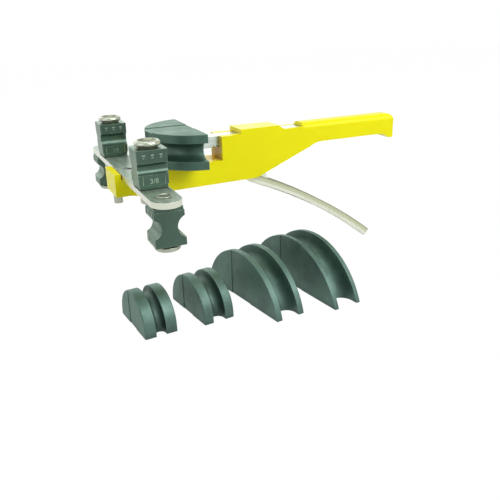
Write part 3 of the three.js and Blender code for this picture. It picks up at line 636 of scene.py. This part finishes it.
MARK_SUNK, MARK_PROUD, WORDS_PROUD = 0.2, 0.3, 0.25
SIDE_LINES, SIDE_LINE_WIDTH = (-9.4, 9.1), 0.3
BAR_STARTS, BAR_LENGTH, BAR_THICK = (-8.4, -1.2, 6.0), 2.4, 1.1
DASH_FROM, DASH_TO, DASH_LOW, DASH_HIGH = 0.4, 1.7, -1.9, -1.2  # from each bar's start and foot
WORDS_SHARE, WORDS_ROOM, WORDS_ABOVE_BOSS, WORDS_BELOW_GROOVE = 0.9, 1.0, 1.4, 0.8
LINE_ABOVE_BOSS, BEFORE_GROOVE, PAST_GROOVE = 0.4, 1.0, 1.4


def marks(name, place, sign, k, size, body):
    """A grooved face's raised size between two lines, and a row of raised bars at its other end."""
    turn = math.radians(90 * k)
    radius = groove_radius(size)
    chord = math.sqrt(radius**2 - (radius - GROOVE_SHARE * SIZES[size]) ** 2)
    height = TUBE_Z - BLOCK_BASE
    first, last = height - chord - BEFORE_GROOVE, height + chord + PAST_GROOVE

    def face(u, z, out):
        """u runs to the right as one looks at the face."""
        reach = block_half(z) + out
        x = reach * math.cos(turn) - u * math.sin(turn)
        y = reach * math.sin(turn) + u * math.cos(turn)
        return place(x, y, z)

    bm = bmesh.new()

    def bar(u0, u1, z0, z1):
        prism(bm, [(u0, z0), (u1, z0), (u1, z1), (u0, z1)], -MARK_SUNK, MARK_PROUD, face)

    for u in SIDE_LINES:
        bar(u, u + SIDE_LINE_WIDTH, BOSS_HEIGHT + LINE_ABOVE_BOSS, first)
    middle = (last + BLOCK_HEIGHT) / 2
    for u in BAR_STARTS:
        bar(u, u + BAR_LENGTH, middle, middle + BAR_THICK)
        bar(u + DASH_FROM, u + DASH_TO, middle + DASH_LOW, middle + DASH_HIGH)
    dressed(raw("bars", bm), f"{name}_bars", MARK, body, angle=40)
    words = bpy.data.curves.new("size", "FONT")
    words.body = size
    words.size = WORDS_SHARE * (first - BOSS_HEIGHT - WORDS_ROOM)
    words.align_x = "CENTER"
    words.extrude = WORDS_PROUD
    text = bpy.data.objects.new("size", words)
    bpy.context.scene.collection.objects.link(text)
    graph = bpy.context.evaluated_depsgraph_get()
    mesh = bpy.data.meshes.new_from_object(text.evaluated_get(graph))
    bpy.data.objects.remove(text, do_unlink=True)
    for vertex in mesh.vertices:
        u, z, out = vertex.co
        # The coordinates of a lower block run downwards, and its size still reads upright.
        up = BOSS_HEIGHT + WORDS_ABOVE_BOSS + z if sign > 0 else first - WORDS_BELOW_GROOVE - z
        vertex.co = face(u, up, out)
    made = bpy.data.objects.new("size", mesh)
    bpy.context.scene.collection.objects.link(made)
    dressed(made, f"{name}_size", MARK, body, angle=40)


# Profiles of a pin, as (radius, height): the dished head with heights counted from the block's
# end, and the feet with heights counted from the face of the bar that the block stands on.
HEAD_PROFILE = [
    (4.0, 0.0), (8.4, 0.0), (8.4, 1.5), (9.9, 1.5), (10.5, 1.8), (10.8, 2.4), (10.9, 3.1),
    (10.8, 3.9), (10.45, 4.7), (9.9, 5.35), (9.2, 5.7), (8.5, 5.6), (7.9, 5.2), (7.2, 4.6),
    (6.2, 4.1), (4.6, 3.7), (2.4, 3.53), (0, 3.5),
]
UPPER_FOOT = [(0, -13.9), (3.7, -13.9), (4.0, -13.6)]
LOWER_FOOT = [
    (0, -5.7), (4.2, -5.7), (4.8, -5.85), (5.2, -6.2), (5.5, -6.3), (5.85, -6.15), (6.0, -5.8),
    (6.0, -5.3), (4.0, -5.3),
]
HEAD_GAP, DISH_RADIUS, DISH_DEPTH, DISH_RIM = 0.2, 8.2, 1.6, 5.0
UPPER_SHIM, LOWER_SHIM, SHIM_RADIUS = (0.2, 0.6), (-5.7, -5.3), 8.6
NUT, NUT_RADIUS = (-13.9, -5.3), 9.6


def pin(name, y, sign):
    """A block's pin: its dished head beyond the block, and its other end through the bar."""
    top = BLOCK_BASE + BLOCK_HEIGHT + HEAD_GAP
    foot = UPPER_FOOT if sign > 0 else LOWER_FOOT
    profile = foot + [(r, top + z) for r, z in HEAD_PROFILE]
    shank = spin([(r, bar_face(sign) + sign * z) for r, z in profile], 0, y)
    dressed(shank, f"{name}_shank", CHROME, "frame", f"{name}_pin", angle=50)
    shank.data.materials.append(DISH)
    axis, rim = at(0, y, 0), at(0, y, bar_face(sign) + sign * (top + DISH_RIM))
    for polygon in shank.data.polygons:
        middle = polygon.center
        within = (middle - axis).xy.length < DISH_RADIUS * MM
        if within and sign * (middle.z - rim.z) > -DISH_DEPTH * MM:
            polygon.material_index = 1


def ring_piece(name, material, y, heights, outer, node, bevel):
    """A washer or a nut on a block's pin."""
    low, high = heights
    ring = spin([(PIN_BORE, low), (outer, low), (outer, high), (PIN_BORE, high)], 0, y)
    dressed(ring, name, material, "frame", node, bevel=bevel, angle=40)


def pin_set(side, sign):
    """The two pins on one side of the bar, with their washers and the nut of the upper one."""
    upper, lower = sign * UPPER_Y, sign * LOWER_Y
    pin(f"{side}_upper", upper, 1)
    pin(f"{side}_lower", lower, -1)
    node = f"{side}_upper_washer"
    ring_piece(f"{side}_upper_shim", STEEL, upper, UPPER_SHIM, SHIM_RADIUS, node, 0.1)
    node = f"{side}_lower_washer"
    ring_piece(f"{side}_lower_shim", STEEL, lower, LOWER_SHIM, SHIM_RADIUS, node, 0.1)
    ring_piece(f"{side}_foot", CHROME, upper, NUT, NUT_RADIUS, f"{side}_upper_nut", 0.8)


# Formers

FORMER_HALF, LIP = 16.0, 0.4
RIM_SHARE = 0.82  # how far the flanges stand over the groove's bottom, as a share of its width
SOCKET_DEPTH, BAND_SHARE, BAND_DEPTH = 24.3, 0.13, 0.5
TURN_STEPS, GROOVE_STEPS = 96, 24
MOUNTED_X = 61.2  # the straight edge of the mounted former


def former(name, material, size, bend, crown, place, body, node, rounding):
    """A former with a groove round it, a square socket in its straight edge and two sunk bands.

    place takes former coordinates: u out of the straight edge, v along it, w along the axis. The
    round is turned about an axis that lies rim - crown beyond the straight edge.
    """
    g = groove_radius(size)
    rim = bend - g + 2 * g * RIM_SHARE
    half, c = FORMER_HALF, rounding
    side = [(rim - c + x, z - half + c) for x, z in arc(0, 0, c, -90, 0, 6)]
    side += [(rim - LIP + x, z - g - LIP) for x, z in arc(0, 0, LIP, 0, 90, 4)]
    groove = [-math.pi / 2 - math.pi * i / GROOVE_STEPS for i in range(GROOVE_STEPS + 1)]
    side += [(bend + g * math.cos(a), g * math.sin(a)) for a in groove]
    side += [(rim - LIP + x, z + g + LIP) for x, z in arc(0, 0, LIP, -90, 0, 4)]
    side += [(rim - c + x, z + half - c) for x, z in arc(0, 0, c, 0, 90, 6)]
    centre = rim - crown
    bm = bmesh.new()
    turns = [math.pi * (i / TURN_STEPS - 0.5) for i in range(TURN_STEPS + 1)]
    sections = [[(centre - r * math.cos(a), r * math.sin(a), z) for r, z in side] for a in turns]
    if centre < 0:
        sections.insert(0, [(0.0, -r, z) for r, z in side])
        sections.append([(0.0, r, z) for r, z in side])
    rows = [[bm.verts.new(place(*p)) for p in s] for s in sections]
    for a, b in zip(rows, rows[1:]):
        for i in range(len(a) - 1):
            bm.faces.new((a[i], a[i + 1], b[i + 1], b[i]))
    bm.faces.new([row[0] for row in rows])
    bm.faces.new([row[-1] for row in reversed(rows)])
    bm.faces.new(list(reversed(rows[0])) + rows[-1])
    blank = raw("former", bm)
    reach = 2 * (rim + crown)

    def slab(x0, x1, y0, y1, z0, z1):
        return solid_prism([(x0, y0), (x1, y0), (x1, y1), (x0, y1)], z0, z1, place)

    straight = rim if centre < 0 else math.sqrt(rim * rim - centre * centre)
    band = 2 * straight * BAND_SHARE
    wide, high = WAY_HALF_WIDTH, WAY_HALF_HEIGHT
    cutters = [slab(-SOCKET_DEPTH, CLEAR, -wide, wide, -high, high)]
    for face in (-1, 1):
        z0, z1 = sorted((face * (half - BAND_DEPTH), face * (half + CLEAR)))
        cutters.append(slab(-reach, CLEAR, -band, band, z0, z1))
    if centre > 0:
        cutters.insert(0, slab(0.0, reach, -reach, reach, -half - CLEAR, half + CLEAR))
    combine(blank, "DIFFERENCE", *cutters)
    dressed(blank, name, material, body, node, bevel=0.3, steps=2, angle=32)


def mounted(u, v, w):
    """Former coordinates for the one on the rod."""
    return at(MOUNTED_X + u, v, TUBE_Z + w)


# Lever: a bent channel of folded sheet with a round end, and two cheeks round the drive pawl

LEVER_STEPS, END_STEPS = 60, 24
CHEEK_FROM, CHEEK_TO = 0.5, 2 / 18  # millimetres over the skin at the root, and share of the arc
CHEEK_PROUD = 0.05  # keeps the faces of cheek and channel apart, so that they join cleanly
FORK_ROUND, FORK_REACH = 4.2, 6.4  # round the pawl's pin, and past the lever's pivot


def on_lever(t, up):
    """X and Z at a share t of the lever's outer skin and up millimetres into its hollow."""
    a = lever_from + (lever_to - lever_from) * t
    r = LEVER_RADIUS + up
    return lever_centre.x + r * math.cos(a), lever_centre.y + r * math.sin(a)


def lever_channel():
    """The channel, made by drawing half of its profile round the lever."""
    half, fold, wall, tight = LEVER_HALF, LEVER_FOLD, LEVER_WALL, LEVER_INNER_FOLD
    inner = half - wall
    profile = [(half, LEVER_FLANGE)]
    profile += [(half - fold + r, fold + z) for r, z in arc(0, 0, fold, 0, -90, 6)]
    profile += [(0.0, 0.0), (0.0, wall)]
    profile += [(inner - tight + r, wall + tight + z) for r, z in arc(0, 0, tight, -90, 0, 3)]
    profile += [(inner, LEVER_FLANGE)]
    axis_edge = profile.index((0.0, 0.0))
    # The profile runs down one side of the lever, round its end and back up the other side.
    body_end = 1 - half / lever_length
    shares = [body_end * i / LEVER_STEPS for i in range(LEVER_STEPS)]
    turns = [math.pi * (i / END_STEPS - 0.5) for i in range(END_STEPS + 1)]
    path = [(t, -1.0, 0.0) for t in shares]
    path += [(body_end, math.sin(a), math.cos(a)) for a in turns]
    path += [(t, 1.0, 0.0) for t in reversed(shares)]
    bm = bmesh.new()
    rows = []
    for t, across, along in path:
        row = []
        for r, up in profile:
            x, z = on_lever(t + r * along / lever_length, up)
            row.append(bm.verts.new(at(x, r * across, z)))
        rows.append(row)
    for a, b in zip(rows, rows[1:]):
        for i in range(len(a)):
            j = (i + 1) % len(a)
            if i != axis_edge:
                bm.faces.new((a[i], a[j], b[j], b[i]))
    bm.faces.new(rows[0])
    bm.faces.new(list(reversed(rows[-1])))
    bmesh.ops.remove_doubles(bm, verts=bm.verts, dist=1e-7)
    return raw("channel", bm)


def lever():
    body = lever_channel()
    outline = [on_lever(0, CHEEK_FROM), on_lever(CHEEK_TO, LEVER_WALL)]
    outline += [on_lever(CHEEK_TO, LEVER_FLANGE - LEVER_WALL)]
    outline += arc(*DRIVE_PIN, FORK_ROUND, 0, 180, 16)
    x, z = LEVER_PIVOT
    outline += [(x - FORK_REACH, z), (x - FORK_REACH, z - FORK_REACH)]
    inner, outer = LEVER_HALF - LEVER_WALL - CHEEK_PROUD, LEVER_HALF + CHEEK_PROUD
    cheeks = []
    for side in (-1, 1):
        near, far = sorted((side * inner, side * outer))
        cheeks.append(solid_prism(outline, near, far, side_view))
    combine(body, "UNION", *cheeks)
    pins = axle(*LEVER_PIVOT, -PAST, PAST, PIVOT_BORE), axle(*DRIVE_PIN, -PAST, PAST, PAWL_BORE)
    combine(body, "DIFFERENCE", *pins)
    dressed(body, "lever", ZINC, "lever", "hand_lever", angle=38)


# The ratchet rod, and the plunger's spring

ROD_NOSE, ROD_TAIL, ROD_HALF_WIDTH, ROD_HALF_HEIGHT = 37.4, 213.0, 7.0, 5.5
TOOTH_FIRST, TOOTH_PITCH, TOOTH_DEPTH, TOOTH_RAMP, TOOTH_COUNT = 80.9, 4.0, 2.0, 3.4, 32
DETENT_X, DETENT_FLOOR, DETENT_BORE = 46.0, 13.9, 2.7


def rod():
    """The square rod, with ratchet teeth underneath and a pocket on top for the detent."""
    low, high = TUBE_Z - ROD_HALF_HEIGHT, TUBE_Z + ROD_HALF_HEIGHT
    points = [(ROD_NOSE, low)]
    for i in range(TOOTH_COUNT):
        x = TOOTH_FIRST + TOOTH_PITCH * i
        points += [(x, low), (x, low + TOOTH_DEPTH), (x + TOOTH_RAMP, low)]
    points += [(ROD_TAIL, low), (ROD_TAIL, high), (ROD_NOSE, high)]
    body = solid_prism(points, -ROD_HALF_WIDTH, ROD_HALF_WIDTH, side_view)
    combine(body, "DIFFERENCE", post(DETENT_X, 0, DETENT_FLOOR, high + CLEAR, DETENT_BORE))
    dressed(body, "rod", ROD, "rod", "ratchet_rod", bevel=0.4, angle=50)


COIL_LOW, COIL_HIGH, COIL_RADIUS, WIRE_RADIUS, COIL_TURNS = -18.8, -9.0, 3.15, 0.35, 7


def plunger_coil():
    """The spring under the plunger's collar, drawn at one length, though the real one shortens as
    the plunger is pulled.
    """
    length, steps, sides = COIL_HIGH - COIL_LOW, 24, 8
    bm = bmesh.new()
    rings = []
    for i in range(COIL_TURNS * steps + 1):
        turn = 2 * math.pi * i / steps
        middle = COIL_LOW + WIRE_RADIUS + (length - 2 * WIRE_RADIUS) * i / (COIL_TURNS * steps)
        ring = []
        for across, up in circle(0, 0, WIRE_RADIUS, sides):
            r = COIL_RADIUS + across
            place = at(PLUNGER_X + r * math.cos(turn), r * math.sin(turn), middle + up)
            ring.append(bm.verts.new(place))
        rings.append(ring)
    for first, second in zip(rings, rings[1:]):
        join_rings(bm, first, second)
    bm.faces.new(rings[0])
    bm.faces.new(rings[-1])
    coil = dressed(raw("coil", bm), "plunger_coil", STEEL, "frame", "bar_plunger_spring", angle=60)
    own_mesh(coil)


def dress(node, material):
    """A CAD node whose own shape stays, with its material."""
    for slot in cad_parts[node].material_slots:
        slot.material = material


# The bender

casting()
cross_bar()
block("near_upper", -UPPER_Y, 1, {1: "1/2", 3: "3/8"})
block("far_upper", UPPER_Y, 1, {1: "3/8", 3: "1/2"})
block("near_lower", -LOWER_Y, -1, {0: "3/4", 2: "5/8"})
block("far_lower", LOWER_Y, -1, {0: "3/4", 2: "5/8"})
pin_set("near", -1)
pin_set("far", 1)
former(
    "mounted_former_body", FORMER, "5/8", 43.0, 42.9, mounted,
    "mounted_former", "former_five_eighths", 0.5,
)
lever()
rod()
plunger_coil()


# The loose formers: size, bend radius, crown, place, heading in degrees and rounding of the flanges

FLOOR = -141.9
LOOSE = {
    "three_eighths": ("3/8", 28.8, 35.1, (-21.2, -40.3), 5.5, 1.4),
    "half": ("1/2", 31.2, 37.8, (35.2, -36.3), 8.0, 1.4),
    "three_quarter": ("3/4", 60.0, 50.2, (93.8, -33.4), 9.0, 0.6),
    "seven_eighths": ("7/8", 73.2, 52.7, (155.8, -26.3), 7.5, 0.6),
}


def standing(x, y, heading):
    """Former coordinates for one that stands on its straight edge, w along its heading."""
    turn = Matrix.Rotation(math.radians(heading), 2)
    middle = Vector((x, y)) + turn @ Vector((FORMER_HALF, 0.0))

    def place(u, v, w):
        flat = middle + turn @ Vector((w, v))
        return at(flat.x, flat.y, FLOOR - u)

    return place


for which, (size, bend, crown, (x, y), heading, rounding) in LOOSE.items():
    former(
        f"loose_former_{which}", LIGHTER_FORMER_COPY, size, bend, crown, standing(x, y, heading),
        f"loose_{which}", f"former_{which}", rounding,
    )

for node in (
    "bar_screw", "plunger_bush", "detent_spring", "lever_pivot_pin", "lever_return_spring",
    "drive_pawl_pin", "drive_pawl_spring", "holding_pawl_pin", "holding_pawl_spring",
):
    dress(node, STEEL)
for node in ("bar_plunger", "detent_ball"):
    dress(node, CHROME)
for node in ("drive_pawl", "holding_pawl"):
    dress(node, DARK)


# Floor, lamps, sky and camera. The lamps alone are placed in row metres.

FLOOR_FROM, FLOOR_TO, FLOOR_THICK = -3000.0, 3500.0, 4.0
FLOOR_GAP = 0.2  # between the floor and what stands on it
FLOOR_GLOW, GLOW_SHARE = 1.05, 0.93
SKY = {"From Min": -0.2, "From Max": 1.0, "To Min": 0.12, "To Max": 0.62}


def camera_sees(tree):
    """1 for rays from the camera: straight, mirrored or let through."""
    path = tree.nodes.new("ShaderNodeLightPath")
    seen = path.outputs["Is Camera Ray"]
    for name in ("Is Glossy Ray", "Is Transmission Ray"):
        joined = tree.nodes.new("ShaderNodeMath")
        joined.operation = "MAXIMUM"
        tree.links.new(seen, joined.inputs[0])
        tree.links.new(path.outputs[name], joined.inputs[1])
        seen = joined.outputs[0]
    return seen


def floor():
    """White paper, which keeps the shadows and looks nearly white where there is none."""
    low, high = FLOOR_FROM, FLOOR_TO
    plan = [(low, low), (high, low), (high, high), (low, high)]
    top = FLOOR - FLOOR_GAP
    made = solid_prism(plan, top - FLOOR_THICK, top, plan_view)
    made.name = "floor"
    n = Nodes("white_paper")
    n.set(color=n.ramp(n.noise(8.0), [(0.3, (0.66,) * 3), (0.7, (0.68,) * 3)]), rough=0.9)
    glow = n.node("ShaderNodeEmission", {"Color": (1, 1, 1, 1), "Strength": FLOOR_GLOW})
    mixed = n.node("ShaderNodeMixShader")
    n.plug(mixed.inputs[0], n.maths("MULTIPLY", camera_sees(n.tree), GLOW_SHARE))
    n.plug(mixed.inputs[1], n.shader.outputs[0])
    n.plug(mixed.inputs[2], glow.outputs[0])
    n.plug(n.tree.nodes["Material Output"].inputs["Surface"], mixed.outputs[0])
    made.data.materials.append(n.material)


def area(name, place, aim, size, power):
    """A soft lamp at a place, turned to another; its size in metres and its power in watts."""
    lamp = bpy.data.lights.new(name, "AREA")
    lamp.shape = "RECTANGLE"
    lamp.size, lamp.size_y = size
    lamp.energy = power
    thing = bpy.data.objects.new(name, lamp)
    thing.location = place
    thing.rotation_mode = "QUATERNION"
    thing.rotation_quaternion = (Vector(aim) - Vector(place)).to_track_quat("-Z", "Y")
    thing.visible_camera = False
    bpy.context.scene.collection.objects.link(thing)


def studio():
    """A sky that lights more from the far side, and is plain white where the camera sees it."""
    world = bpy.data.worlds.new("studio")
    bpy.context.scene.world = world
    world.use_nodes = True
    tree = world.node_tree
    dim = tree.nodes["Background"]
    dim.inputs["Color"].default_value = (1, 1, 1, 1)
    direction = tree.nodes.new("ShaderNodeSeparateXYZ")
    tree.links.new(tree.nodes.new("ShaderNodeTexCoord").outputs["Generated"], direction.inputs[0])
    level = tree.nodes.new("ShaderNodeMapRange")
    for socket, value in SKY.items():
        level.inputs[socket].default_value = value
    tree.links.new(direction.outputs["Y"], level.inputs["Value"])
    tree.links.new(level.outputs["Result"], dim.inputs["Strength"])
    white = tree.nodes.new("ShaderNodeBackground")
    white.inputs["Color"].default_value = (1, 1, 1, 1)
    mixer = tree.nodes.new("ShaderNodeMixShader")
    tree.links.new(camera_sees(tree), mixer.inputs[0])
    tree.links.new(dim.outputs[0], mixer.inputs[1])
    tree.links.new(white.outputs[0], mixer.inputs[2])
    tree.links.new(mixer.outputs[0], tree.nodes["World Output"].inputs["Surface"])


LENS, SENSOR, CLIP_START, CLIP_END = 43.2, 36.0, 0.01, 20.0
CAMERA_PLACE = (-125.0, -547.0, 134.7)
AZIMUTH, ELEVATION, ROLL = 24.17, 21.80, 1.49  # degrees


def camera():
    """The camera's axes are the rows of turn: it starts level, looking along +Y."""
    lens = bpy.data.cameras.new("camera")
    lens.sensor_width = SENSOR
    lens.lens = LENS
    lens.clip_start, lens.clip_end = CLIP_START, CLIP_END
    made = bpy.data.objects.new("camera", lens)
    bpy.context.scene.collection.objects.link(made)
    bpy.context.scene.camera = made
    turn = (
        Matrix.Rotation(math.radians(ROLL), 3, "Z")
        @ Matrix.Rotation(math.radians(ELEVATION), 3, "X")
        @ Matrix(((1, 0, 0), (0, 0, 1), (0, -1, 0)))
        @ Matrix.Rotation(math.radians(AZIMUTH), 3, "Z")
    )
    pose = turn.transposed().to_4x4()
    pose.translation = at(*CAMERA_PLACE)
    made.matrix_world = pose


floor()
area("key", (0.42, -1.0, 0.9), (-0.1, 0, -0.05), (1.2, 0.9), 16.5)
area("side", (-1.3, -0.35, 0.4), (-0.1, 0, -0.08), (0.9, 0.9), 3.0)
area("overhead", (-0.3, 0.1, 1.2), (-0.1, 0, -0.05), (0.9, 0.9), 4.8)
area("back", (-0.35, 1.3, 0.55), (-0.1, 0, 0), (2.4, 0.9), 6.5)
studio()
camera()

bpy.context.scene.view_settings.view_transform = "Standard"
